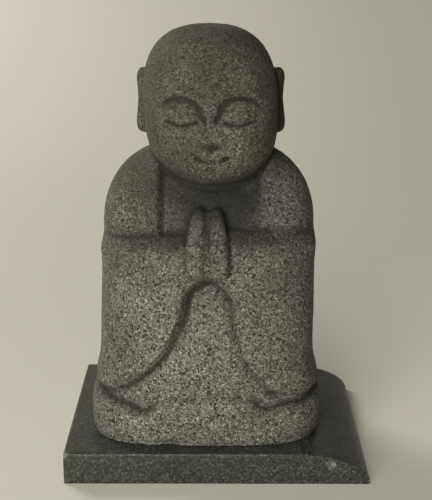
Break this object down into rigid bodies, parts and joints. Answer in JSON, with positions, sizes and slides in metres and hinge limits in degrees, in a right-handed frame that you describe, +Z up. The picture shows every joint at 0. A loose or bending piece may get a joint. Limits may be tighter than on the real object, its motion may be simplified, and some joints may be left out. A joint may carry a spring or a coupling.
{
  "type": "stone jizo statue",
  "caption": "Small granite jizo standing with closed eyes and joined hands, on a thin granite slab with one rounded edge; stands by its own weight.",
  "frame": {"origin": "centre of the slab's underside, on the surface it stands on", "axes": "+Z up; the figure faces -Y; +X is to the right seen from the front, the side where the slab's edge is rounded"},
  "size_m": [0.1858, 0.1414, 0.2693],
  "materials": {
    "figure_granite": "rough dressed grey granite, weathered olive brown above",
    "slab_granite": "sawn fine dark grey-green granite"
  },
  "bodies": {
    "root": {"jizo_figure": "figure_granite", "granite_slab": "slab_granite"}
  },
  "joints": []
}
